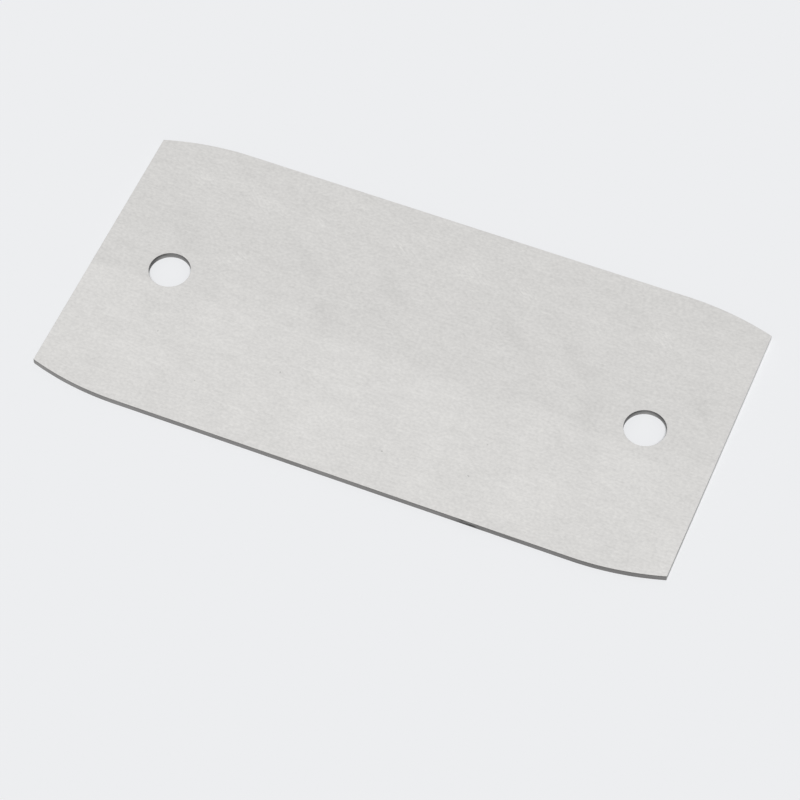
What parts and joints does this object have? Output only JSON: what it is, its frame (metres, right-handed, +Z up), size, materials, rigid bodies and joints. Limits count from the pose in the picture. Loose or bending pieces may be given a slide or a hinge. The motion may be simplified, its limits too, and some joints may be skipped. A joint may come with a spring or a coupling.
{
  "type": "card scraper",
  "caption": "Rigid rectangular card scraper of flat steel, with straight scraping edges that sweep back at the corners and a round hole near each end.",
  "frame": {"origin": "middle of the underside of the plate", "axes": "+X along the plate, +Y across it towards one straight scraping edge, +Z up through its thickness"},
  "size_m": [0.1524, 0.0762, 0.0016],
  "materials": {
    "plate_steel": "fine ground steel, satin, with a soft grain"
  },
  "bodies": {
    "root": {"scraper_plate": "plate_steel"}
  },
  "joints": []
}
